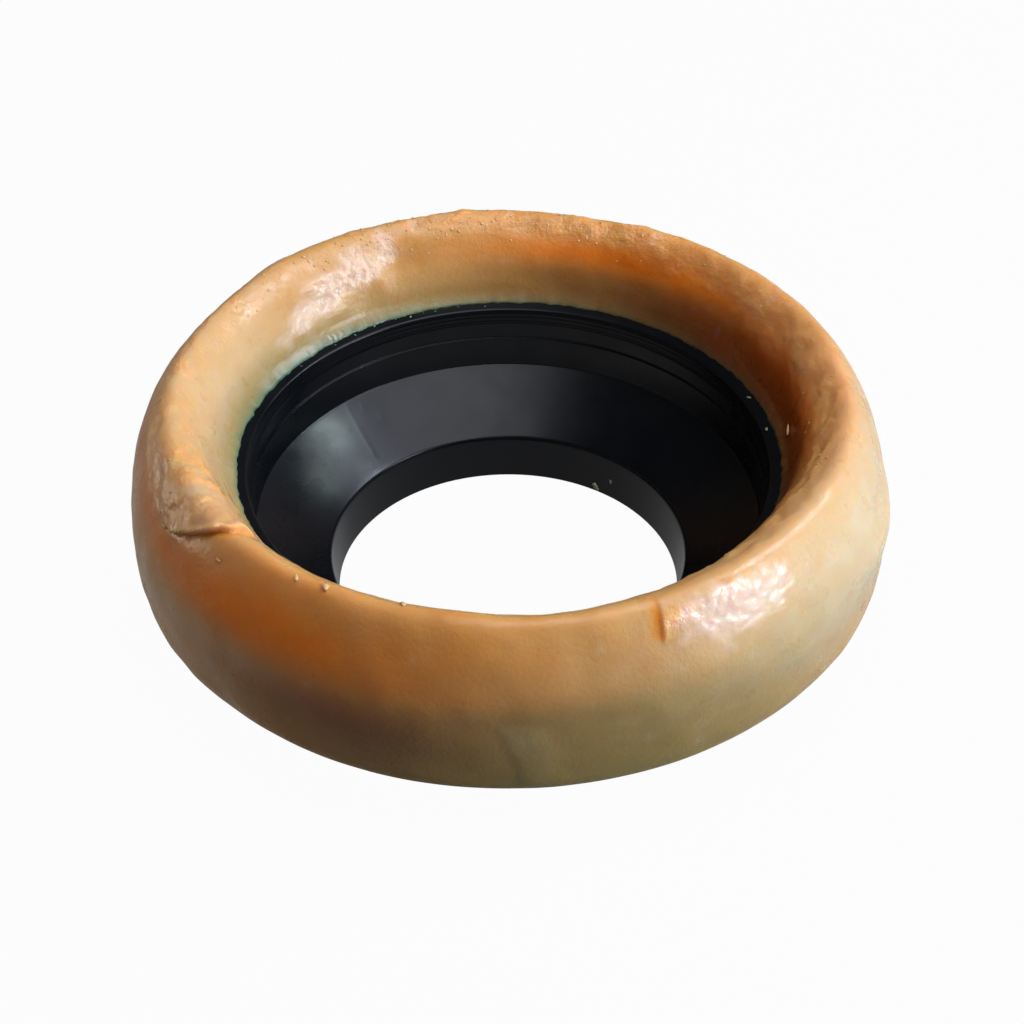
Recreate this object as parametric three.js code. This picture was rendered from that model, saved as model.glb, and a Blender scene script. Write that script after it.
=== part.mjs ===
// Toilet pan seal: a thick ring of soft wax, cast round the collar of a black moulded plastic funnel.
// Millimetres, +Z up. The origin lies on the axis, in the plane of the spigot's open end, on which it stands.
import * as THREE from "three";

// Steps round the axis, the same for both pieces
const roundSteps = 120;

// Plastic flange, from the spigot up. The bores are diameters. The collar widens by its draft from the
// step to its mouth, where the lip starts.
const flangeWall = 1.6;
const spigotEndBore = 61.5;
const spigotLength = 8.3;
const coneFootBore = 63.5;
const coneRise = 8.35;
const coneTopBore = 89.2;
const stepHeight = 5.85;
const stepWidth = 0.4;
const collarDepth = 11.95;
const collarDraft = 0.4;
const lipReach = 5;
const lipRise = 1.4;
const flangeEdgeRound = 0.6;

// Wax ring, measured outwards from the collar's outer wall, and up from the collar's mouth or the wax's underside
const waxClearance = 0.2;
const waxThickness = 18.6;
const crestOffset = 10.5;
const crestRise = 14.65;
const innerShoulderOffset = 3.2;
const innerShoulderRise = 5.8;
const innerFullness = 1.48;
const outerWallHeight = 12;
const outerFullness = 1.3;
const footRoundWidth = 1.7;
const footRoundHeight = 4;
const waxDrop = 3.3;
const innerChamfer = 1.2;

// The thin edge of the wax on the lip, outwards from the mouth
const waxEdgeOffset = 2.2;

// Slow unevenness of the cast surface: waves round the ring, with their height in mm
const castWaves = [
  { count: 3, height: 0.2, phase: 0.6 },
  { count: 5, height: 0.15, phase: 2.1 },
  { count: 9, height: 0.12, phase: 4.0 },
];

// Marks left in the soft wax by handling. around: degrees round the ring from +X. over: degrees round
// the wax's section, 0 on the outer wall, 90 on the crest and 180 inside. push: mm out of the surface.
const handMarks = [
  // Flap folded outwards over the crest, with the hollow below it
  { around: 207, over: 100, width: 8, height: 18, push: 0.9 },
  { around: 216, over: 70, width: 6, height: 12, push: -0.5 },
  // Nick across the front of the crest, and the pinched wax beside it
  { around: 291, over: 84, width: 3, height: 12, push: -0.7 },
  { around: 303, over: 84, width: 5, height: 13, push: 0.8 },
  // Lumps along the back right of the crest
  { around: 63, over: 98, width: 5, height: 12, push: 1.1 },
  { around: 35, over: 102, width: 6, height: 12, push: 1.3 },
  { around: 16, over: 104, width: 5, height: 12, push: 1.0 },
  // Finger dents in the inner slope at the back left
  { around: 134, over: 138, width: 5, height: 11, push: -0.9 },
  { around: 114, over: 118, width: 4, height: 9, push: -0.7 },
  // Long swell of the inner slope at the right front
  { around: 318, over: 120, width: 15, height: 22, push: 1.3 },
  // Flat thumb print low on the front, and the bulge of the right wall
  { around: 273, over: -12, width: 8, height: 14, push: -0.8 },
  { around: 342, over: 2, width: 8, height: 16, push: 0.9 },
];

// Heights and radii that the two pieces share
const coneTopZ = spigotLength + coneRise;
const mouthZ = coneTopZ + collarDepth;
const mouthRadius = coneTopBore / 2 + stepWidth + collarDraft;
const lipRadius = mouthRadius + lipReach;
const lipSlope = lipRise / lipReach;
const collarOuterRadius = mouthRadius + flangeWall;
const coneSlope = coneRise / ((coneTopBore - coneFootBore) / 2);
const coneDrop = flangeWall * Math.hypot(1, coneSlope);
const spigotOuterRadius = coneFootBore / 2 + flangeWall;

// Top of the lip and underside of the cone at a given radius
const lipTopZ = (radius) => mouthZ + (radius - mouthRadius) * lipSlope;
const coneUnderZ = (radius) => spigotLength + (radius - coneFootBore / 2) * coneSlope - coneDrop;

const collarCornerZ = coneUnderZ(collarOuterRadius);
const waxUndersideZ = collarCornerZ - waxDrop;

// Closes an outline of [radius, height, round] corners. A corner with a round starts to curve that far
// before it and ends that far past it.
function outline(corners) {
  return corners.flatMap(([radius, height, round = 0], index) => {
    const corner = new THREE.Vector2(radius, height);
    if (!round) return [corner];
    const towards = (neighbour) => {
      const side = new THREE.Vector2(neighbour[0], neighbour[1]).sub(corner);
      return side.setLength(round).add(corner);
    };
    const start = towards(corners.at(index - 1));
    const end = towards(corners[(index + 1) % corners.length]);
    return new THREE.QuadraticBezierCurve(start, corner, end).getPoints(2);
  });
}

// Turns a closed outline round the Z axis, with its faces pointing out of the solid
function turned(points) {
  const geometry = new THREE.LatheGeometry([...points, points[0]], roundSteps);
  return geometry.rotateX(Math.PI / 2);
}

function piece(name, geometry, color, roughness) {
  const material = new THREE.MeshStandardMaterial({ color, roughness, metalness: 0 });
  const mesh = new THREE.Mesh(geometry, material);
  mesh.name = name;
  return mesh;
}

// Plastic flange: spigot, cone, stepped collar and flared lip, moulded in one
function plasticFlange() {
  const stepZ = coneTopZ + stepHeight;
  const ledgeInnerRadius = coneTopBore / 2 + collarDraft / 2;
  const spigotEndOuterRadius = spigotEndBore / 2 + flangeWall;
  const points = outline([
    [spigotEndBore / 2, 0],
    [spigotEndOuterRadius, 0],
    [spigotOuterRadius, coneUnderZ(spigotOuterRadius)],
    [collarOuterRadius, collarCornerZ, flangeEdgeRound],
    [collarOuterRadius, lipTopZ(collarOuterRadius) - flangeWall],
    [lipRadius, lipTopZ(lipRadius) - flangeWall, flangeEdgeRound],
    [lipRadius, lipTopZ(lipRadius), flangeEdgeRound],
    [mouthRadius, mouthZ, flangeEdgeRound],
    [ledgeInnerRadius + stepWidth, stepZ],
    [ledgeInnerRadius, stepZ],
    [coneTopBore / 2, coneTopZ],
    [coneFootBore / 2, spigotLength, flangeEdgeRound],
  ]);
  return piece("plastic_flange", turned(points), 0x14191b, 0.4);
}

// Points from one side of a rounded stretch to the other. fullness 1 is an ellipse, more is flatter.
function shoulder(from, to, fullness, steps) {
  const points = [];
  for (let step = 0; step <= steps; step++) {
    const turn = (step / steps) * (Math.PI / 2);
    const reach = Math.cos(turn) ** fullness;
    const rise = Math.sin(turn) ** fullness;
    points.push(new THREE.Vector2(to.x + (from.x - to.x) * reach, from.y + (to.y - from.y) * rise));
  }
  return points;
}

// How far the wax's surface stands out at one place, in mm
function unevenness(around, over) {
  let push = 0;
  for (const wave of castWaves) {
    push += wave.height * Math.cos(wave.count * around + wave.phase);
  }
  for (const mark of handMarks) {
    const turn = around - THREE.MathUtils.degToRad(mark.around);
    const aside = THREE.MathUtils.radToDeg(Math.atan2(Math.sin(turn), Math.cos(turn))) / mark.width;
    const above = (THREE.MathUtils.radToDeg(over) - mark.over) / mark.height;
    push += mark.push * Math.exp(-(aside ** 2 + above ** 2) / 2);
  }
  return push;
}

// Wax ring: seated on the collar and the lip, with a rounded crest that the pan presses down on
function waxRing() {
  const outerRadius = collarOuterRadius + waxThickness;
  const crest = new THREE.Vector2(collarOuterRadius + crestOffset, mouthZ + crestRise);
  const wallTop = new THREE.Vector2(outerRadius, waxUndersideZ + outerWallHeight);
  const wallFoot = new THREE.Vector2(outerRadius, waxUndersideZ + footRoundHeight);
  const footInner = new THREE.Vector2(outerRadius - footRoundWidth, waxUndersideZ);
  const innerTop = new THREE.Vector2(
    collarOuterRadius + innerShoulderOffset,
    mouthZ + innerShoulderRise,
  );
  const edgeRadius = mouthRadius + waxEdgeOffset;
  const edge = new THREE.Vector2(edgeRadius, lipTopZ(edgeRadius) + waxClearance);

  // The cast surface in the open, from the foot over the crest to the edge on the lip
  const open = [
    ...shoulder(wallFoot, footInner, 1, 3)
      .reverse()
      .map((point, index) => ({ point, loose: index / 3 })),
    { point: wallFoot.clone().lerp(wallTop, 0.5), loose: 1 },
    ...shoulder(wallTop, crest, outerFullness, 8).map((point) => ({ point, loose: 1 })),
    ...shoulder(innerTop, crest, innerFullness, 6)
      .reverse()
      .slice(1)
      .map((point) => ({ point, loose: 1 })),
    { point: innerTop.clone().lerp(edge, 0.5), loose: 0.6 },
    { point: edge, loose: 0 },
  ];

  // The surface that lies on the flange and the flat underside
  const seatRadius = collarOuterRadius + waxClearance;
  const seated = [
    [lipRadius + waxClearance, lipTopZ(lipRadius) + waxClearance],
    [lipRadius + waxClearance, lipTopZ(lipRadius) - flangeWall - waxClearance],
    [seatRadius, lipTopZ(collarOuterRadius) - flangeWall - waxClearance],
    [seatRadius, collarCornerZ],
    [seatRadius + innerChamfer, waxUndersideZ],
  ].map(([radius, height]) => ({ point: new THREE.Vector2(radius, height), loose: 0 }));

  const section = [...open, ...seated];
  const geometry = turned(section.map(({ point }) => point));
  const middle = new THREE.Vector2(crest.x, (waxUndersideZ + crest.y) / 2);
  const position = geometry.getAttribute("position");
  for (let index = 0; index < position.count; index++) {
    const { point, loose } = section[(index % (section.length + 1)) % section.length];
    if (loose === 0) continue;
    const around = Math.atan2(position.getY(index), position.getX(index));
    const over = Math.atan2(point.y - middle.y, point.x - middle.x);
    const push = loose * unevenness(around, over);
    const radius = point.x + push * Math.cos(over);
    const height = point.y + push * Math.sin(over);
    position.setXYZ(index, radius * Math.cos(around), radius * Math.sin(around), height);
  }
  geometry.computeVertexNormals();
  return piece("wax_ring", geometry, 0xa98450, 0.35);
}

const group = new THREE.Group();
group.add(plasticFlange(), waxRing());

export default group;
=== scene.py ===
# Toilet pan seal: a thick ring of amber petroleum wax, cast round the collar of a black polyethylene
# funnel. The wax is soft, so it keeps the marks of handling and packing. Angles round the seal are in
# degrees from +X at the right, the front is at 270, and shapes are worked out in millimetres.
import math

import bpy
import numpy as np
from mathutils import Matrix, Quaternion, Vector, noise


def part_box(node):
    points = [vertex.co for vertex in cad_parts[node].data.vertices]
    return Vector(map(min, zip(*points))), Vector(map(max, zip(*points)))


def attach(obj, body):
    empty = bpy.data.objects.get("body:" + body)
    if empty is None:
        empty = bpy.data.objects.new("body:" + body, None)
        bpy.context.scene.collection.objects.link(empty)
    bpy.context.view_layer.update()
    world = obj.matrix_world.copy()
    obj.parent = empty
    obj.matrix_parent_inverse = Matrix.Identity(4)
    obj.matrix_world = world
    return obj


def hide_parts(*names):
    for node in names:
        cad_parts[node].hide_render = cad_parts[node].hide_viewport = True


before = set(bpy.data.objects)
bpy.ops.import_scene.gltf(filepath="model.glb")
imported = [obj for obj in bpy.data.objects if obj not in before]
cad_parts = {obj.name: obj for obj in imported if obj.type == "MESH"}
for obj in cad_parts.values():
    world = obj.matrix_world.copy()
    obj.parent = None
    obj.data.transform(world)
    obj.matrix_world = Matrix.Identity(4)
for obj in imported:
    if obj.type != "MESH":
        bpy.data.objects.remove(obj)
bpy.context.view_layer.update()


# Camera: it looks down into the funnel from in front, as one looks at a seal that lies on a bench. The
# lens is a short telephoto, so the ring's back and front keep nearly the same width.
MM = 0.001
camera_elevation = math.radians(39.55)
camera_distance = 380 * MM
camera_aim = Vector((0.67 * MM, 0, 16.1 * MM))

camera_data = bpy.data.cameras.new("bench_camera")
camera_data.sensor_width = 36
camera_data.lens = 75
camera_data.clip_start = 10 * MM
camera_data.clip_end = 10
camera = bpy.data.objects.new("bench_camera", camera_data)
bpy.context.collection.objects.link(camera)
towards_camera = Vector((0, -math.cos(camera_elevation), math.sin(camera_elevation)))
camera.location = Vector((0, 0, camera_aim.z)) + towards_camera * camera_distance
camera.rotation_euler = (camera_aim - camera.location).to_track_quat("-Z", "Y").to_euler()
bpy.context.scene.camera = camera


# Plastic flange: a spigot, a cone, a stepped collar and a flared lip, injection moulded in one piece of
# black polyethylene. Its wall is even, its edges are slightly rounded by the mould, and fine rings are
# left in the collar where the mould's core was turned. Corners are given as (radius, height).
_, flange_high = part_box("plastic_flange")
flange_wall = 1.6
spigot_end_radius = 30.75
spigot_shoulder_height = 7.43
cone_foot = Vector((31.75, 8.3))
cone_top = Vector((44.6, 16.65))
collar_corner_height = 16.3
step_radius = 44.8
step_width = 0.4
step_height = 22.5
mouth = Vector((45.4, 28.6))
lip_end = Vector((flange_high.x / MM, flange_high.z / MM))
lip_underside = mouth.y - 1.15
collar_outer = mouth.x + flange_wall


def rounded(corners, steps=6):
    """A closed outline through corners (radius, height, rounding), curved for that far on both sides."""
    points = []
    for index, (x, y, rounding) in enumerate(corners):
        corner = Vector((x, y))
        if not rounding:
            points.append(corner)
            continue
        before = Vector(corners[index - 1][:2])
        after = Vector(corners[(index + 1) % len(corners)][:2])
        start = corner + (before - corner).normalized() * rounding
        end = corner + (after - corner).normalized() * rounding
        for step in range(steps + 1):
            t = step / steps
            points.append(start * (1 - t) ** 2 + corner * 2 * t * (1 - t) + end * t ** 2)
    return points


def subdivided(points, longest):
    """The same closed outline, with no stretch longer than the given length."""
    finer = []
    for index, point in enumerate(points):
        following = points[(index + 1) % len(points)]
        count = max(1, math.ceil((following - point).length / longest))
        finer += [point.lerp(following, part / count) for part in range(count)]
    return finer


def ridge(distance, centre, width):
    """A soft ridge across a distance: 1 at its centre, and falling to 0 on both sides."""
    return np.exp(-((distance - centre) / width) ** 2)


def crowded(places, count):
    """Angles round the axis in degrees, closer together at each (centre, width, how much closer)."""
    degrees = np.linspace(0, 360, 7201)
    crowding = np.ones(len(degrees))
    for centre, width, closer in places:
        crowding += closer * ridge(degrees, centre, width)
    passed = np.concatenate([[0], np.cumsum((crowding[1:] + crowding[:-1]) / 2)])
    return np.interp(np.linspace(0, passed[-1], count, endpoint=False), passed, degrees)


def ring_mesh(name, around, radius, height):
    """A closed ring from grids of angle, radius and height. Rows go round the axis, columns the section."""
    rows, columns = radius.shape
    positions = np.stack([radius * np.cos(around), radius * np.sin(around), height], -1) * MM
    row, column = np.meshgrid(np.arange(rows), np.arange(columns), indexing="ij")
    next_row = (row + 1) % rows
    next_column = (column + 1) % columns
    corners = [row * columns + column, next_row * columns + column]
    corners += [next_row * columns + next_column, row * columns + next_column]
    faces = np.stack(corners, -1).reshape(-1, 4)
    mesh = bpy.data.meshes.new(name)
    mesh.from_pydata(positions.reshape(-1, 3).tolist(), [], faces.tolist())
    mesh.shade_smooth()
    made = bpy.data.objects.new(name, mesh)
    bpy.context.collection.objects.link(made)
    return made


def store(piece, name, grid):
    """Keeps one number per vertex, for the material to read."""
    values = piece.data.attributes.new(name, "FLOAT", "POINT")
    values.data.foreach_set("value", grid.astype(np.float32).ravel())


# The turning rings stand out of the collar's wall, which widens towards the mouth by its draft
turning_ring_heights = (27.7, 26.9, 26.0)
turning_ring_depth = 0.1
turning_ring_half_width = 0.2
collar_draft = 0.03
turning_rings = []
for ring_height in turning_ring_heights:
    ring_radius = step_radius + step_width + (ring_height - step_height) * collar_draft
    for rise, depth in ((turning_ring_half_width, 0), (0, turning_ring_depth), (-turning_ring_half_width, 0)):
        turning_rings.append((ring_radius - depth, ring_height + rise, 0))
edge_rounding = 0.3
lip_rounding = 0.6
mouth_rounding = 0.45
step_rounding = 0.12
groove_rounding = 0.15
cone_foot_rounding = 0.6
flange_outline = rounded([
    (spigot_end_radius, 0, edge_rounding),
    (spigot_end_radius + flange_wall, 0, edge_rounding),
    (cone_foot.x + flange_wall, spigot_shoulder_height, edge_rounding),
    (collar_outer, collar_corner_height, edge_rounding),
    (collar_outer, lip_underside, edge_rounding),
    (lip_end.x, lip_end.y - flange_wall, lip_rounding),
    (lip_end.x, lip_end.y, lip_rounding),
    (mouth.x, mouth.y, mouth_rounding),
    *turning_rings,
    (step_radius + step_width, step_height, step_rounding),
    (step_radius, step_height, groove_rounding),
    (cone_top.x, cone_top.y, groove_rounding),
    (cone_foot.x, cone_foot.y, cone_foot_rounding),
])
longest_stretch = 0.8
flange_section = np.array([tuple(point) for point in subdivided(flange_outline, longest_stretch)])
flange_turns = 550
knit_at = 134
flange_degrees = crowded([(knit_at, 5, 5)], flange_turns)
flange_around = np.tile(flange_degrees[:, None], (1, len(flange_section)))
flange_radius = np.tile(flange_section[:, 0], (flange_turns, 1))
flange_height = np.tile(flange_section[:, 1], (flange_turns, 1))

# The knit line, where the plastic closed behind the mould's core, runs aslant down the cone
cone_slope = (cone_top.y - cone_foot.y) / (cone_top.x - cone_foot.x)
cone_face_height = cone_foot.y + (flange_radius - cone_foot.x) * cone_slope
off_face = np.abs(flange_height - cone_face_height)
on_cone = (off_face < 0.02) & (flange_radius < cone_top.x - 0.3)
knit_slant = 0.24
knit_width = 0.55
knit_depth = 0.05
knit_end_radius = 34.5
knit_line = knit_at + (cone_top.x - flange_radius) * knit_slant
from_knit = np.radians(flange_around - knit_line) * flange_radius
knit = ridge(from_knit, 0, knit_width) * on_cone * (flange_radius > knit_end_radius)
sunk = knit_depth * knit

# Sink marks, where the plastic shrank, lie by the knit line, each as (angle, radius, width)
sink_depth = 0.07
for sink_at, sink_radius, sink_width in ((127.2, 39.8, 0.7), (130.5, 42.4, 0.5), (124, 37.5, 0.4)):
    sideways = np.radians(flange_around - sink_at) * flange_radius
    sink = ridge(sideways, 0, sink_width) * ridge(flange_radius, sink_radius, sink_width)
    sunk += sink_depth * sink * on_cone
flange_height -= sunk
flange = ring_mesh("moulded_flange", np.radians(flange_around), flange_radius, flange_height)

# Grease from the wax is wiped on the left of the cone, and its grey there is also painted sheen, as (amount,
# angle, its width, radius, its width)
grease_and_painted_sheen = np.zeros(flange_around.shape)
for amount, at, width, radius, height in ((1.4, 144, 7, 41.5, 3.5), (0.6, 156, 8, 37, 3)):
    grease_and_painted_sheen += amount * ridge(flange_around, at, width) * ridge(flange_radius, radius, height)
store(flange, "grease_and_painted_sheen", np.clip(grease_and_painted_sheen * on_cone, 0, 1))


def linear(hex_colour):
    """An sRGB hex colour as the linear RGBA that a shader socket takes."""
    channels = [int(hex_colour[start:start + 2], 16) / 255 for start in (1, 3, 5)]
    return [c / 12.92 if c <= 0.04045 else ((c + 0.055) / 1.055) ** 2.4 for c in channels] + [1]


def add_node(material, kind, inputs=None, **settings):
    """Adds a shader node, sets its settings, and links or sets its inputs."""
    made = material.node_tree.nodes.new(kind)
    for setting, value in settings.items():
        setattr(made, setting, value)
    for socket, value in (inputs or {}).items():
        if isinstance(value, bpy.types.NodeSocket):
            material.node_tree.links.new(value, made.inputs[socket])
        else:
            made.inputs[socket].default_value = value
    return made


def new_material(name):
    """An empty material that is made of nodes."""
    material = bpy.data.materials.new(name)
    material.use_nodes = True
    material.node_tree.nodes.clear()
    return material


# Black polyethylene, moulded against a turned and polished core: a deep blue-black with a satin shine. The
# shine is uneven where the flange was handled. Where it is greasy it is grey, which is partly grease and
# partly painted sheen on the left of the cone. The pores of the mould are finer than the render shows, so
# they are drawn 0.35 mm wide.
flange_material = new_material("moulded_black_polyethylene")
flange_place = add_node(flange_material, "ShaderNodeTexCoord")
handling_size = 9 * MM
handling = add_node(flange_material, "ShaderNodeTexNoise", {
    "Vector": flange_place.outputs["Object"],
    "Scale": 1 / handling_size,
    "Detail": 6.0,
})
satin = add_node(flange_material, "ShaderNodeMapRange", {
    "Value": handling.outputs["Fac"],
    "From Min": 0.3,
    "From Max": 0.7,
    "To Min": 0.24,
    "To Max": 0.36,
})
grease_and_sheen_mask = add_node(flange_material, "ShaderNodeAttribute", attribute_name="grease_and_painted_sheen")
grease_and_sheen_streaks = add_node(flange_material, "ShaderNodeMath", {
    0: grease_and_sheen_mask.outputs["Fac"],
    1: handling.outputs["Fac"],
}, operation="MULTIPLY")
# The grey of grease and painted sheen lies over the blue-black
plastic_colour = add_node(flange_material, "ShaderNodeMix", {
    "Factor": grease_and_sheen_streaks.outputs["Value"],
    "A": linear("#05080d"),
    "B": linear("#7a877e"),
}, data_type="RGBA")
pore_size = 0.35 * MM
pores = add_node(flange_material, "ShaderNodeTexNoise", {
    "Vector": flange_place.outputs["Object"],
    "Scale": 1 / pore_size,
})
pore_bump = add_node(flange_material, "ShaderNodeBump", {
    "Height": pores.outputs["Fac"],
    "Strength": 0.3,
    "Distance": 0.02 * MM,
})
flange_shader = add_node(flange_material, "ShaderNodeBsdfPrincipled", {
    "Base Color": plastic_colour.outputs["Result"],
    "Roughness": satin.outputs["Result"],
    "IOR": 1.51,
    "Specular IOR Level": 0.22,
    "Normal": pore_bump.outputs["Normal"],
})
add_node(flange_material, "ShaderNodeOutputMaterial", {"Surface": flange_shader.outputs["BSDF"]})
flange.data.materials.append(flange_material)
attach(flange, "root")
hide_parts("plastic_flange")


# Wax ring: amber petroleum wax, poured warm into a ring mould round the collar, where it grips the lip. It
# stays soft, so the crest is lumpy from handling, a flap is folded over it at the left, and it is nicked
# and crumpled at the front right. It thins to a ragged film where it ends on the lip.
wax_gap = 0.04
wax_underside = 13.0
wax_outer = collar_outer + 18.6
wax_wall_top = 25.0
wax_foot_width = 1.7
wax_foot_height = 4.0
wax_crest = Vector((collar_outer + 10.5, mouth.y + 14.65))
wax_inner_top = Vector((collar_outer + 3.2, mouth.y + 5.8))
wax_middle = Vector((wax_crest.x, (wax_underside + wax_crest.y) / 2))
wax_edge = 47.6
outer_fullness = 1.3
inner_fullness = 1.48
inner_chamfer = 1.4
lip_slope = (lip_end.y - mouth.y) / (lip_end.x - mouth.x)


def lip_top(radius):
    """Height of the lip's top face at a radius."""
    return mouth.y + (radius - mouth.x) * lip_slope


def shoulder(start, end, fullness, steps=40):
    """A rounded stretch from an upright start to a level end. Fullness 1 is an ellipse, more is flatter."""
    turn = np.linspace(0, math.pi / 2, steps + 1)
    reach = np.clip(np.cos(turn), 0, 1) ** fullness
    rise = np.sin(turn) ** fullness
    return np.stack([end[0] + (start[0] - end[0]) * reach, start[1] + (end[1] - start[1]) * rise], -1)


def even(path, count):
    """The same path with evenly spaced points."""
    length = np.concatenate([[0], np.cumsum(np.linalg.norm(np.diff(path, axis=0), axis=1))])
    at = np.linspace(0, length[-1], count)
    return np.stack([np.interp(at, length, path[:, axis]) for axis in (0, 1)], -1)


# The open side of the section runs from the underside up the outer wall, over the crest, and down to the
# film on the lip, whose thickness is given by radius
foot_inner = (wax_outer - wax_foot_width, wax_underside)
film_thickness = ((48.7, 1.1), (48.1, 0.35), (wax_edge, 0.12))
open_path = np.concatenate([
    shoulder((wax_outer, wax_underside + wax_foot_height), foot_inner, 1)[::-1],
    shoulder((wax_outer, wax_wall_top), wax_crest, outer_fullness),
    shoulder(wax_inner_top, wax_crest, inner_fullness)[::-1],
    [(radius, lip_top(radius) + thickness) for radius, thickness in film_thickness],
])
open_columns = 124
open_section = even(open_path, open_columns)
softening_rounds = 12
for _ in range(softening_rounds):
    open_section[1:-1] += (open_section[:-2] + open_section[2:] - 2 * open_section[1:-1]) / 4

# The seated side goes back under the film, round the lip, down the collar and out along the underside
seat_radius = collar_outer + wax_gap
seated_path = np.array([
    (wax_edge, lip_top(wax_edge) + wax_gap),
    (lip_end.x + wax_gap, lip_end.y + wax_gap),
    (lip_end.x + wax_gap, lip_end.y - flange_wall - wax_gap),
    (seat_radius, lip_underside - wax_gap),
    (seat_radius, collar_corner_height),
    (collar_outer + inner_chamfer, wax_underside),
    foot_inner,
])
seated_columns = 25
seated_section = even(seated_path, seated_columns + 1)[:-1]

# How far round the section each column lies: 0 on the outer wall, 90 on the crest, 180 inside. Then the
# direction out of the section, and the length along it.
section_over = np.degrees(np.arctan2(open_section[:, 1] - wax_middle.y, open_section[:, 0] - wax_middle.x))
section_slope = np.gradient(open_section, axis=0)
section_slope /= np.linalg.norm(section_slope, axis=1)[:, None]
section_out = np.stack([section_slope[:, 1], -section_slope[:, 0]], -1)
section_length = np.cumsum(np.linalg.norm(np.diff(open_section, axis=0, prepend=open_section[:1]), axis=1))

# Angles round the ring, closer together at the flap, the nick, the crumple and the dents
flap_at, nick_at, crumple_at, dents_at = 215, 291.5, 305, 127
wax_turns = 640
marked_places = [(flap_at, 7, 3), (nick_at, 3, 3), (crumple_at, 11, 1.4), (dents_at, 18, 0.9)]
around_row = crowded(marked_places, wax_turns)
column_numbers = np.arange(open_columns)
around = np.tile(around_row[:, None], (1, open_columns))
over = np.tile(section_over, (wax_turns, 1))
base_radius = np.tile(open_section[:, 0], (wax_turns, 1))
base_height = np.tile(open_section[:, 1], (wax_turns, 1))


def beside(centre):
    """Degrees round the ring from a centre, from -180 to 180."""
    return (around - centre + 180) % 360 - 180


def ramp(value, start, end):
    """0 before start and 1 after end, with a smooth rise between them."""
    t = np.clip((value - start) / (end - start), 0, 1)
    return t * t * (3 - 2 * t)


def patches(*spots):
    """Soft-edged patches added up, each as (amount, around, over, width, height), with angles in degrees."""
    total = np.zeros(around.shape)
    for amount, centre, across, width, height in spots:
        total += amount * np.exp(-(beside(centre) / width) ** 2 / 2 - ((over - across) / height) ** 2 / 2)
    return total


# Brings the noise, which seldom passes 0.6, to about 1
full_swing = 1.6


def grain(*layers):
    """Noise over the surface, in layers of (amount, lump size in mm, seed, stretch along the ring)."""
    total = np.zeros(around.shape)
    for amount, size, seed, stretch in layers:
        along = wax_crest.x / (size * stretch)
        turn = np.radians(around)
        up = np.broadcast_to(section_length / size, around.shape)
        places = np.stack([along * np.cos(turn), along * np.sin(turn), up], -1).reshape(-1, 3) + seed
        values = [noise.noise(Vector(place)) for place in places.tolist()]
        total += amount * full_swing * np.array(values).reshape(around.shape)
    return total


# How far the surface stands out, in mm. The first layers are the cast grain, the slow waves of the casting,
# as (height, count, phase), and the dents and lumps of handling. The waves and the lumps are in the solid.
push = grain((0.2, 11, 3.1, 1), (0.1, 5, 8.4, 1), (0.025, 2, 12.3, 1.5))
for height, count, phase in ((0.2, 3, 0.6), (0.15, 5, 2.1), (0.12, 9, 4.0)):
    push += height * np.cos(np.radians(count * around) + phase)
push += patches(
    # The flap's fold, and the wax pinched up beside the nick
    (0.9, 207, 100, 8, 18),
    (0.6, 303, 84, 5, 13),
    # Lumps along the back right of the crest
    (0.55, 63, 106, 5, 9),
    (1.2, 35, 102, 6, 12),
    (1.0, 16, 104, 5, 12),
    # Finger dents in the inner slope at the back left, and a small notch in the crest above them
    (-0.9, 135, 127, 5, 9),
    (-0.7, 114, 118, 4, 9),
    (-0.6, 108, 93, 0.9, 3.5),
    # Long swell of the inner slope at the right front
    (1.3, 318, 120, 15, 22),
    # Flat thumb print low on the front, and the bulge of the right wall
    (-0.5, 273, -12, 8, 14),
    (0.9, 342, 2, 8, 16),
)

# Crumpled and dented wax was squeezed smooth and shines. The dented stretch runs aslant, down the inner
# slope to the left.
crumpled = ramp(patches((1, crumple_at, 69, 7, 12)) + grain((0.2, 2.5, 4.9, 1)), 0.12, 0.7)
dents_width = 12
dents_slant = 1.25
dents_over = 122 + dents_slant * beside(dents_at)
off_dents = (beside(dents_at) / dents_width) ** 2 + ((over - dents_over) / dents_width) ** 2
dented = ramp(np.exp(-off_dents / 2) + grain((0.25, 3, 7.2, 1.5)), 0.15, 0.75)
push += crumpled * grain((0.1, 1.7, 1.7, 1.6), (0.14, 0.85, 6.1, 1.5))
push += dented * grain((0.14, 1.7, 5.2, 2.6), (0.15, 0.85, 3.6, 2.0))

# Crumbly wax was torn by the packing, along most of the crest but not in front of the flap. It is
# roughest beside the flap and on the inner crest at the right front.
crumbly = patches(
    (1, 94, 93, 22, 8),
    (1, 203, 92, 7, 20),
    (0.9, 22, 108, 30, 11),
    (0.9, 350, 112, 14, 13),
    (0.5, 62, 96, 16, 10),
    (0.7, 176, 90, 22, 15),
    (0.7, 318, 106, 15, 9),
)
crumbly *= 1 - 0.95 * ramp(beside(218), 0, 3) * (1 - ramp(beside(240), 0, 10))
crumbly = np.clip(crumbly * (0.75 + grain((0.5, 4, 1.1, 1))), 0, 1)
push += crumbly * grain((0.2, 3.4, 9.9, 1), (0.2, 1.9, 6.6, 1.3), (0.16, 0.95, 2.4, 1))
push += patches((1, 204, 88, 7, 18)) * grain((0.35, 2.8, 4.2, 1))
push += patches((1, 317, 105, 14, 9)) * grain((0.3, 2.4, 18.3, 1.3))

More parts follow.
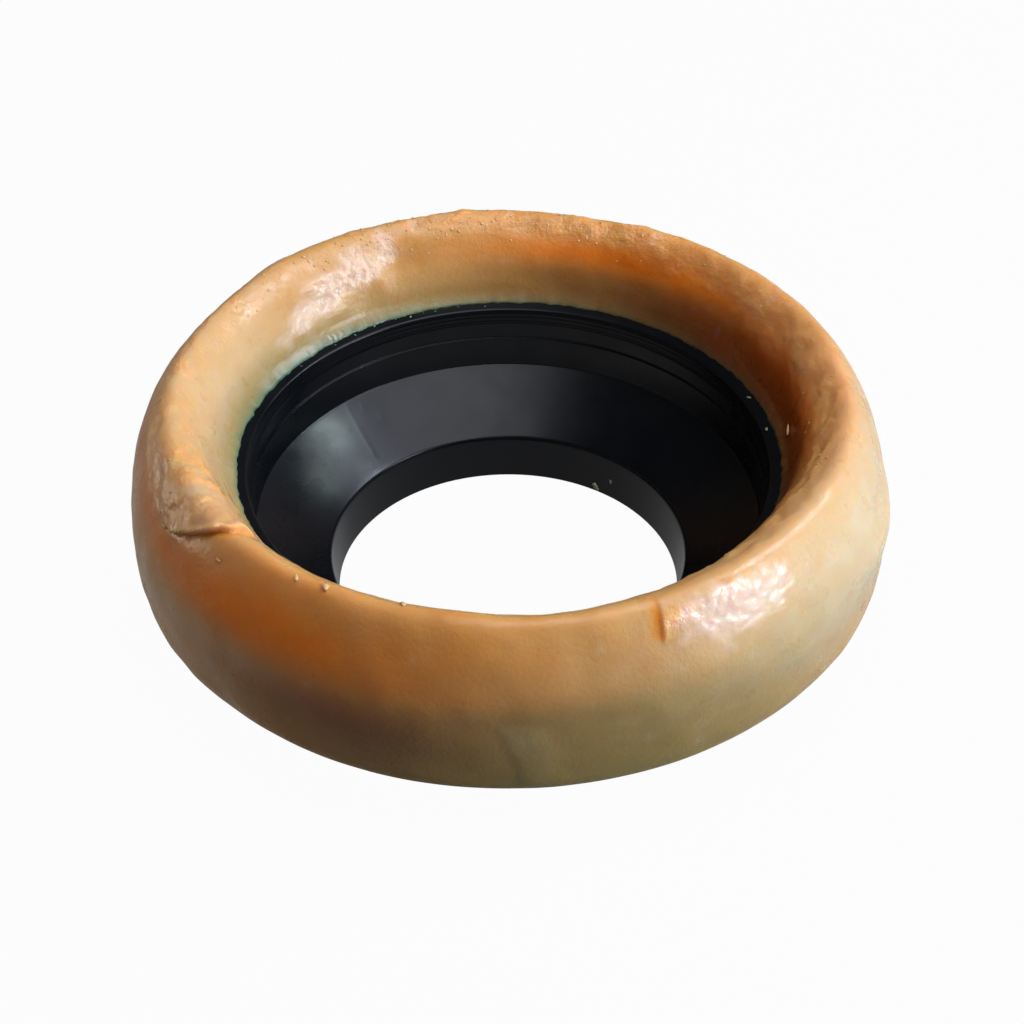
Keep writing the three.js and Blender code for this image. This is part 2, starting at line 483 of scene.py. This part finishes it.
# The flap: a layer folded forwards over the crest. It ends in a thin rolled lip, with a crease under it.
# Its uneven edge sweeps back on the outer side. Behind is the distance in mm from the edge to the back.
flap_edge_at = 220.5
flap_sweep = 13
flap_height = 0.75
flap_run_out = 5
lip_swell = 0.25
lip_roll = 0.5
crease_depth = 0.7
flap_line = flap_edge_at - flap_sweep * np.clip((97 - over) / 36, 0, 1.2) ** 1.6 + grain((0.6, 3, 9.1, 1))
behind = np.radians((flap_line - around + 180) % 360 - 180) * base_radius
flap_span = ramp(over, 60, 68) * (1 - ramp(over, 96, 114)) * (1 + grain((0.35, 2.2, 13.3, 1)))
raised = ramp(behind, -0.15, 0.25)
push += flap_span * flap_height * raised * np.exp(-np.clip(behind, 0, None) / flap_run_out)
push += flap_span * lip_swell * ridge(behind, 0.6, 0.6)
push -= flap_span * crease_depth * (1 - raised) * np.exp(np.minimum(behind, 0) / 1.3)
rolled = flap_span * lip_roll * ridge(behind, 0.35, 0.5)
# Orange painted shade lies in the crease under the lip
crease_shade = flap_span * ridge(behind, -0.8, 0.8)
torn_lip = flap_span * ridge(behind, 0.7, 0.7)

# The nick: a short slit down the front of the crest, with a ridge of wax pushed up on its right. Aside is
# the distance to the right of the slit's edge, in mm.
slit_depth = 0.16
slit_lean = 0.025
pinch_height = 0.38
pinched_lip_height = 0.3
aside = np.radians(beside(nick_at + 0.5)) * base_radius - slit_lean * (over - 78)
slit_width = 1.4 + 1.4 * (1 - ramp(over, 66, 92))
slit = ramp(aside, -slit_width, 0.2) * (1 - ramp(aside, 0.1, 1.0))
slit *= ramp(over, 63, 71) * (1 - ramp(over, 82, 98))
pinched = ramp(aside, 0.2, 1.1) * np.exp(-np.clip(aside - 0.6, 0, None) / 1.5)
pinched *= ramp(over, 62, 68) * (1 - ramp(over, 74, 86))
pinched_lip = patches((1, 295, 76, 1.6, 3.5))
push += pinch_height * pinched + pinched_lip_height * pinched_lip - slit_depth * slit

# A thumb smear low on the front wall, which stands up along its left edge
smear_height = 0.25
from_smear_edge = grain((0.4, 4, 15.5, 1)) + np.radians(beside(268.5) + 0.07 * (over + 17)) * base_radius
thumbed = ramp(from_smear_edge, 0, 1.1) * (1 - ramp(from_smear_edge, 5, 9)) * (1 - ramp(over, -14, 0))
push += smear_height * thumbed

# Nothing moves at the underside and on the lip
steady = ramp(column_numbers, 0, 9) * (1 - ramp(column_numbers, open_columns - 12, open_columns - 3))
push *= steady
rolled *= steady
open_radius = base_radius + push * section_out[:, 0]
open_height = base_height + push * section_out[:, 1]
open_around = np.radians(around) + rolled / base_radius

# The film's edge is ragged. It reaches further in at the back left, where it also looks greenest.
film = ramp(column_numbers, open_columns - 7, open_columns - 1)
greener = ridge(beside(145), 0, 62)
film_reach = 0.15 + 0.45 * greener + grain((0.16, 2.6, 4.4, 1)) + np.abs(grain((0.22, 0.8, 7.7, 1)))
film_reach = np.clip(film_reach[:, -1:], -0.2, 1.3)
open_radius -= film * film_reach
open_height -= film * film_reach * lip_slope

# The seated side follows, with its first points drawn under the film
seated_radius = np.tile(seated_section[:, 0], (wax_turns, 1))
seated_height = np.tile(seated_section[:, 1], (wax_turns, 1))
seated_radius[:, :1] -= film_reach
seated_height[:, :1] = lip_top(seated_radius[:, :1]) + wax_gap
seated_around = np.tile(np.radians(around_row)[:, None], (1, seated_columns))
wax = ring_mesh(
    "cast_wax_ring",
    np.concatenate([open_around, seated_around], 1),
    np.concatenate([open_radius, seated_radius], 1),
    np.concatenate([open_height, seated_height], 1),
)

# Petroleum wax, poured and left as cast: translucent amber that light enters for a few millimetres, with a
# greasy shine. Rubbed wax has a pale bloom, and a thin film looks green over the black lip. Painted light is
# laid over the amber: deep orange and dark brown painted shade and an orange painted glow on the shaded
# sides, painted sheen in the pale bloom, a pinkish white painted highlight on squeezed wax, and orange
# painted shade in the crease and the nick.
# Painted shade: deep orange where the wax lies in shade, on the inner slope at the right, low on the front
# left, and inside by the lip at the right
painted_deep_shade = patches((1, 12, 132, 38, 26), (1, 247, -16, 17, 26), (0.7, 22, 165, 36, 18))
painted_deep_shade = np.clip(painted_deep_shade * (0.95 + grain((0.15, 7, 5.5, 1))), 0, 1)
# Painted glow: orange where light shows through the wax on its shaded sides, on the front and the left side,
# and on the inner slope at the back and the right
painted_glow = patches(
    (1, 233, 46, 20, 26),
    (0.6, 68, 119, 18, 9),
    (0.6, 352, 112, 12, 14),
    (0.3, 262, 17, 24, 14),
    (0.6, 185, 58, 26, 12),
    (0.75, 42, 114, 26, 9),
)
painted_glow = np.clip(painted_glow * (0.95 + grain((0.15, 7, 2.5, 1))), 0, 1)
# A pale bloom of rubbed wax, which is also painted sheen: on the lit wall and crest at the right, the lit
# inner slope at the left, and low on the left wall
bloom_and_painted_sheen = 0.45 * thumbed + patches(
    (1, 328, -8, 30, 34),
    (0.6, 165, 150, 32, 22),
    (0.7, 335, 62, 30, 26),
    (0.45, 175, 95, 28, 24),
    (0.3, 225, -8, 12, 14),
    (0.5, 208, 90, 6, 15),
)
bloom_and_painted_sheen = np.clip(bloom_and_painted_sheen * (1 + grain((0.15, 4.5, 2.2, 1), (0.08, 1.6, 3.3, 2.0))), 0, 1)
olive = ramp(-base_height, -38, -15) * ridge(beside(285), 0, 42)
olive += patches((0.75, 158, 168, 34, 16), (0.2, 95, 160, 30, 16), (0.35, 277, 8, 30, 22))
torn = crumbly * (1 - 0.8 * ramp(over, 106, 122)) + torn_lip + pinched + pinched_lip
# Squeezed wax is glossier and its grit stands out more, and its pinkish white tint is a painted highlight
smooth_and_painted_highlight = np.clip(crumpled + 0.75 * dented + 0.2 * torn_lip, 0, 1) - patches((0.9, 316, 101, 13, 8))
# Painted shade: dark brown where the wax thins to the lip away from the green stretch, most at the right, and
# low on the front left
shaded_edge = np.clip((column_numbers - (open_columns - 20)) / 19, 0, 1) * (1 - greener)
painted_dark_shade = 0.85 * shaded_edge * ramp(np.cos(np.radians(around - 30)), -0.2, 0.6)
painted_dark_shade += patches((0.3, 250, -34, 20, 22))
film_depth = np.clip((column_numbers - (open_columns - 9)) / 8, 0, 1)
thin = film_depth ** 2.2 * (0.1 + 0.9 * greener)
on_lip = (seated_height > mouth.y) & (seated_radius < wax_edge + 1)
hidden = np.zeros(seated_radius.shape)

wax_material = new_material("poured_amber_petroleum_wax")
wax_place = add_node(wax_material, "ShaderNodeTexCoord")
cloud_size = 14 * MM
clouds = add_node(wax_material, "ShaderNodeTexNoise", {
    "Vector": wax_place.outputs["Object"],
    "Scale": 1 / cloud_size,
    "Detail": 4.0,
})
amber = add_node(wax_material, "ShaderNodeValToRGB", {"Fac": clouds.outputs["Fac"]})
amber.color_ramp.elements[0].position = 0.35
amber.color_ramp.elements[0].color = linear("#c48f4a")
amber.color_ramp.elements[1].position = 0.65
amber.color_ramp.elements[1].color = linear("#cd9f5f")

# Each tint lies over the ones before it, as (name, colour, how much on the open side, on the seated side)
wax_tints = (
    ("painted_deep_shade", "#ac4a05", painted_deep_shade, hidden),
    ("painted_glow", "#ea8010", painted_glow, hidden),
    ("bloom_and_painted_sheen", "#cbbb9c", bloom_and_painted_sheen, hidden),
    ("olive", "#8e7e4a", np.clip(olive, 0, 1), hidden),
    ("torn", "#e2a866", 0.8 * np.clip(torn, 0, 1), hidden),
    ("smooth_and_painted_highlight", "#e6d2c6", 0.8 * smooth_and_painted_highlight, hidden),
    # Orange painted shade in the flap's crease and in the nick's slit
    ("painted_cleft_shade", "#d2861c", np.clip(crease_shade + 0.9 * slit, 0, 1), hidden),
    ("painted_dark_shade", "#3a2a12", np.clip(painted_dark_shade, 0, 1), hidden),
    ("thin", "#4f6f5a", thin, on_lip),
)
wax_colour = amber.outputs["Color"]
how_much = {}
for name, tint, open_side, seated_side in wax_tints:
    store(wax, name, np.concatenate([open_side, seated_side], 1))
    mask = add_node(wax_material, "ShaderNodeAttribute", attribute_name=name)
    how_much[name] = mask.outputs["Fac"]
    tinted = add_node(wax_material, "ShaderNodeMix", {
        "Factor": how_much[name],
        "A": wax_colour,
        "B": linear(tint),
    }, data_type="RGBA")
    wax_colour = tinted.outputs["Result"]
store(wax, "wrinkled", np.concatenate([dented, hidden], 1))
wrinkled_wax = add_node(wax_material, "ShaderNodeAttribute", attribute_name="wrinkled")
how_much["wrinkled"] = wrinkled_wax.outputs["Fac"]

# The grain of wax is finer than the render shows, so it is drawn 0.8 mm wide. It stands out more where the
# wax was squeezed, wrinkled or torn.
grit_size = 0.8 * MM
grit = add_node(wax_material, "ShaderNodeTexNoise", {
    "Vector": wax_place.outputs["Object"],
    "Scale": 1 / grit_size,
    "Detail": 3.0,
})
grit_strength = 0.3
for name, more in (("smooth_and_painted_highlight", 0.25), ("wrinkled", 0.55), ("torn", 1.3)):
    stronger = add_node(wax_material, "ShaderNodeMath", {
        0: how_much[name],
        1: more,
        2: grit_strength,
    }, operation="MULTIPLY_ADD")
    grit_strength = stronger.outputs["Value"]
grit_bump = add_node(wax_material, "ShaderNodeBump", {
    "Height": grit.outputs["Fac"],
    "Strength": grit_strength,
    "Distance": 0.22 * MM,
})

# Smears of grease make the shine uneven, and squeezed wax is the glossiest
smear_size = 6 * MM
smears = add_node(wax_material, "ShaderNodeTexNoise", {
    "Vector": wax_place.outputs["Object"],
    "Scale": 1 / smear_size,
    "Detail": 5.0,
})
greasy = add_node(wax_material, "ShaderNodeMapRange", {
    "Value": smears.outputs["Fac"],
    "From Min": 0.3,
    "From Max": 0.7,
    "To Min": 0.24,
    "To Max": 0.36,
})
glossier = add_node(wax_material, "ShaderNodeMath", {
    0: how_much["smooth_and_painted_highlight"],
    1: -0.27,
    2: greasy.outputs["Result"],
}, operation="MULTIPLY_ADD")
wax_shader = add_node(wax_material, "ShaderNodeBsdfPrincipled", {
    "Base Color": wax_colour,
    "Roughness": glossier.outputs["Value"],
    "IOR": 1.44,
    "Specular IOR Level": 0.42,
    "Subsurface Weight": 1.0,
    "Subsurface Radius": (1.0, 0.42, 0.14),
    "Subsurface Scale": 3.4 * MM,
    "Normal": grit_bump.outputs["Normal"],
})
add_node(wax_material, "ShaderNodeOutputMaterial", {"Surface": wax_shader.outputs["BSDF"]})
wax.data.materials.append(wax_material)
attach(wax, "root")
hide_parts("wax_ring")


# Wax crumbs: flakes of the same wax, torn off the crest by the packing. They stick where they fell, on the
# crest, along the film on the lip, and a few inside the collar and the spigot, where they look green.
chance = np.random.default_rng(5)
wax_across = (open_radius * np.cos(open_around), open_radius * np.sin(open_around))
wax_surface = np.stack([*wax_across, open_height], -1)


def ring_place(at, radius, height):
    """A point at an angle round the ring, in mm."""
    return np.array([radius * math.cos(math.radians(at)), radius * math.sin(math.radians(at)), height])


def outwards(at, across):
    """The direction out of a ring at an angle round it and an angle over its section."""
    return ring_place(at, math.cos(math.radians(across)), math.sin(math.radians(across)))


def on_wax(row, column):
    """A point of the wax's surface, and the direction out of it."""
    turn = open_around[row, column]
    level, upright = section_out[column]
    return wax_surface[row, column], np.array([level * math.cos(turn), level * math.sin(turn), upright])


def nearest(at, across):
    """The row and column of the wax's mesh nearest to an angle round the ring and one over its section."""
    return int(np.argmin(np.abs(around_row - at))), int(np.argmin(np.abs(section_over - across)))


def flake(shortest, longest, narrow, wide, thickness):
    """A flake's length, width and thickness. Narrow, wide and thickness are shares of its length."""
    length = chance.uniform(shortest, longest)
    return length, length * chance.uniform(narrow, wide), length * thickness


# Each crumb: its place, the direction out of the surface, length, width and thickness, turn, and greenness
crumbs = [
    (ring_place(51.2, 31.25, 3.4), outwards(51.2, 180), (1.3, 0.8, 0.5), 1.2, 0.8),
    (ring_place(57, 30.9, 1.1), outwards(57, 180), (2.1, 0.9, 0.6), 1.5, 0.6),
    (ring_place(3.5, 48.95, 31.9), outwards(3.5, 160), (2.4, 0.6, 0.5), 0.3, 0.0),
    (ring_place(21, 46.5, 29.0), outwards(0, 90), (1.1, 0.6, 0.4), 2.0, 0.7),
    (ring_place(9, 46.3, 29.0), outwards(0, 90), (0.9, 0.5, 0.4), 0.6, 0.6),
]

# Flat flakes on the near crest, then crumbs on the crumbly wax, specks along the back, and flecks of film
near_flakes = ((207.5, 62, 1.7), (236, 88, 1.7), (241.5, 90, 2.2), (254, 94, 1.8), (222, 74, 1.3))
for at, across, length in near_flakes:
    crumbs.append((*on_wax(*nearest(at, across)), (length, 0.5 * length, 0.3 * length), 0.9, 0.0))
crumbly_crumbs = 40
while crumbly_crumbs:
    row, column = chance.integers(0, wax_turns), chance.integers(20, open_columns - 8)
    if chance.random() > crumbly[row, column] - 0.1:
        continue
    crumbs.append((*on_wax(row, column), flake(0.3, 0.9, 0.4, 0.9, 0.22), chance.uniform(0, 3), 0.0))
    crumbly_crumbs -= 1
back_specks = 170
for at, across in zip(chance.normal(100, 26, back_specks), chance.normal(98, 8, back_specks)):
    size = flake(0.25, 0.7, 0.4, 0.9, 0.4)
    crumbs.append((*on_wax(*nearest(at, across)), size, chance.uniform(0, 3), 0.0))
film_flecks = 12
for at in chance.normal(118, 26, film_flecks):
    radius = mouth.x + chance.uniform(0.9, 1.9)
    size = flake(0.3, 0.8, 0.3, 0.6, 0.25)
    crumbs.append((ring_place(at, radius, lip_top(radius)), outwards(0, 90), size, chance.uniform(0, 3), 1.0))

# Every crumb is a small uneven ball, squashed to its size and sunk a little into the surface
crumb_rows, crumb_columns = 5, 8
crumb_lift = 0.15
crumb_points, crumb_faces, crumb_green = [], [], []
for place, direction, size, turn, green in crumbs:
    normal = Vector(direction).normalized()
    sideways = normal.orthogonal().normalized()
    sideways.rotate(Quaternion(normal, turn))
    other = normal.cross(sideways)
    first = len(crumb_points)
    for row in range(crumb_rows):
        tilt = math.pi * (row + 0.5) / crumb_rows
        for column in range(crumb_columns):
            spin = 2 * math.pi * column / crumb_columns
            swell = chance.uniform(0.55, 1.25) / 2
            offset = sideways * (size[0] * swell * math.sin(tilt) * math.cos(spin))
            offset += other * (size[1] * swell * math.sin(tilt) * math.sin(spin))
            offset += normal * (size[2] * (swell * math.cos(tilt) + crumb_lift))
            crumb_points.append((Vector(place) + offset) * MM)
            following = (column + 1) % crumb_columns
            if row + 1 < crumb_rows:
                here = first + row * crumb_columns
                below = here + crumb_columns
                crumb_faces.append((here + column, below + column, below + following, here + following))
    crumb_faces.append(tuple(range(first, first + crumb_columns)))
    crumb_faces.append(tuple(reversed(range(len(crumb_points) - crumb_columns, len(crumb_points)))))
    crumb_green += [green] * (crumb_rows * crumb_columns)
crumb_mesh = bpy.data.meshes.new("wax_crumbs")
crumb_mesh.from_pydata(crumb_points, [], crumb_faces)
crumb_mesh.shade_smooth()
crumb_piece = bpy.data.objects.new("wax_crumbs", crumb_mesh)
bpy.context.collection.objects.link(crumb_piece)
store(crumb_piece, "green", np.array(crumb_green))

# Torn flakes of petroleum wax: too thin to hold colour, so they are paler than the ring and glint. On the
# black plastic they look grey-green.
crumb_material = new_material("torn_wax_flakes")
how_green = add_node(crumb_material, "ShaderNodeAttribute", attribute_name="green")
crumb_place = add_node(crumb_material, "ShaderNodeTexCoord")
flake_size = 1.5 * MM
flake_shades = add_node(crumb_material, "ShaderNodeTexNoise", {
    "Vector": crumb_place.outputs["Object"],
    "Scale": 1 / flake_size,
})
pale_flakes = add_node(crumb_material, "ShaderNodeMix", {
    "Factor": flake_shades.outputs["Fac"],
    "A": linear("#c98a48"),
    "B": linear("#ecc898"),
}, data_type="RGBA")
crumb_colour = add_node(crumb_material, "ShaderNodeMix", {
    "Factor": how_green.outputs["Fac"],
    "A": pale_flakes.outputs["Result"],
    "B": linear("#6f9480"),
}, data_type="RGBA")
crumb_shader = add_node(crumb_material, "ShaderNodeBsdfPrincipled", {
    "Base Color": crumb_colour.outputs["Result"],
    "Roughness": 0.2,
    "IOR": 1.44,
})
add_node(crumb_material, "ShaderNodeOutputMaterial", {"Surface": crumb_shader.outputs["BSDF"]})
crumb_mesh.materials.append(crumb_material)
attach(crumb_piece, "root")


# Floor: a plain sheet of white card under the seal. The camera sees it white, and it takes the light as
# mid grey. What shines sees it near the seal only, and darker towards the front, where the seal shades it.
floor_mesh = bpy.data.meshes.new("bench")
floor_reach = 3
floor_mesh.from_pydata(
    [(x * floor_reach, y * floor_reach, 0) for x, y in ((-1, -1), (1, -1), (1, 1), (-1, 1))],
    [],
    [(0, 1, 2, 3)],
)
floor = bpy.data.objects.new("bench", floor_mesh)
bpy.context.collection.objects.link(floor)
floor_material = new_material("white_card")
card = add_node(floor_material, "ShaderNodeBsdfDiffuse", {"Color": linear("#8c8c8c")})
seen_white = add_node(floor_material, "ShaderNodeEmission", {"Strength": 1.0})
light_path = add_node(floor_material, "ShaderNodeLightPath")
glossy_or_through = add_node(floor_material, "ShaderNodeMath", {
    0: light_path.outputs["Is Glossy Ray"],
    1: light_path.outputs["Is Transmission Ray"],
}, operation="ADD")
card_place = add_node(floor_material, "ShaderNodeTexCoord")
card_axes = add_node(floor_material, "ShaderNodeSeparateXYZ", {"Vector": card_place.outputs["Object"]})
from_axis = add_node(floor_material, "ShaderNodeVectorMath", {
    0: card_place.outputs["Object"],
}, operation="LENGTH")

# Each stretch of the card fades from one level to the other: its measure, where it starts and ends in mm,
# and the two levels. They are the shaded front, the card under the seal, and the far card.
card_level = glossy_or_through.outputs["Value"]
for measure, start, end, level, end_level in (
    (card_axes.outputs["Y"], -65, -35, 0.1, 1.0),
    (from_axis.outputs["Value"], 40, 60, 0.38, 0.28),
    (from_axis.outputs["Value"], 90, 125, 1.0, 0.0),
):
    fade = add_node(floor_material, "ShaderNodeMapRange", {
        "Value": measure,
        "From Min": start * MM,
        "From Max": end * MM,
        "To Min": level,
        "To Max": end_level,
    }, interpolation_type="SMOOTHSTEP")
    shaded = add_node(floor_material, "ShaderNodeMath", {
        0: card_level,
        1: fade.outputs["Result"],
    }, operation="MULTIPLY")
    card_level = shaded.outputs["Value"]
seen_white_share = 0.97
seen = add_node(floor_material, "ShaderNodeMath", {
    0: light_path.outputs["Is Camera Ray"],
    1: seen_white_share,
    2: card_level,
}, operation="MULTIPLY_ADD")
floor_shader = add_node(floor_material, "ShaderNodeMixShader", {
    "Fac": seen.outputs["Value"],
    1: card.outputs["BSDF"],
    2: seen_white.outputs["Emission"],
})
add_node(floor_material, "ShaderNodeOutputMaterial", {"Surface": floor_shader.outputs["Shader"]})
floor_mesh.materials.append(floor_material)


# Light: a window at the right and a little to the front, a broad ceiling above, a small cool lamp high at
# the right, and a low pale wall at the left, in an even room. They are plain levels, at which a colour
# comes out about as it is written.
def window(name, towards, distance, size, power, colour="#ffffff"):
    """A rectangular area light that shines at the seal from a direction."""
    data = bpy.data.lights.new(name, "AREA")
    data.shape = "RECTANGLE"
    data.size, data.size_y = size
    data.energy = power
    data.color = linear(colour)[:3]
    lamp = bpy.data.objects.new(name, data)
    bpy.context.collection.objects.link(lamp)
    lamp.location = camera_aim + Vector(towards).normalized() * distance
    lamp.rotation_euler = (camera_aim - lamp.location).to_track_quat("-Z", "Y").to_euler()


window("window_right", (0.86, -0.34, 0.34), 0.7, (0.14, 0.42), 3.6)
window("ceiling", (0.25, -0.1, 0.95), 0.8, (0.6, 0.6), 4.4, "#f2f5ff")
window("high_lamp", (0.72, 0.2, 0.68), 0.7, (0.18, 0.18), 2.6, "#e2ecff")
window("left_wall", (-0.95, 0.3, 0.05), 0.8, (0.5, 0.1), 1.1, "#fff0dc")

# The room: a dim even light on the seal, and white where the camera sees it
room_light = 0.07
world = bpy.data.worlds.new("room")
world.use_nodes = True
world_path = add_node(world, "ShaderNodeLightPath")
world_level = add_node(world, "ShaderNodeMath", {
    0: world_path.outputs["Is Camera Ray"],
    1: seen_white_share - room_light,
    2: room_light,
}, operation="MULTIPLY_ADD")
room = world.node_tree.nodes["Background"]
room.inputs["Color"].default_value = linear("#ffffff")
world.node_tree.links.new(world_level.outputs["Value"], room.inputs["Strength"])
bpy.context.scene.world = world

bpy.context.scene.view_settings.view_transform = "Standard"
